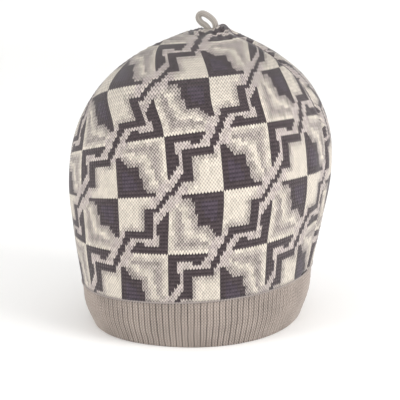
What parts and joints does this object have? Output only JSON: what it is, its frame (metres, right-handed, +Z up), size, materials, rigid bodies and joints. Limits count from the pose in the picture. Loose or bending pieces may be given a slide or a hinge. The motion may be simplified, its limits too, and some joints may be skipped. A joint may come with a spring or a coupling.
{
  "type": "knitted beanie",
  "caption": "Knitted beanie in geometric jacquard, with a peaked crown of two panels, a ribbed band and a small hanging loop.",
  "frame": {"origin": "middle of the rim's bounding box, on the surface that the cap rests on", "axes": "+Z up through the crown, -Y to the front, +X to the side where the border is higher"},
  "size_m": [0.19, 0.2039, 0.226],
  "materials": {
    "jacquard_knit": "fine double-knit jacquard in cream, dark aubergine and lilac grey, matt",
    "rib_knit": "taupe-grey rib knit, matt",
    "loop_cord": "grey knitted cord, matt"
  },
  "bodies": {
    "root": {"front_panel": "jacquard_knit", "back_panel": "jacquard_knit", "band": "rib_knit", "hang_loop": "loop_cord"}
  },
  "joints": []
}
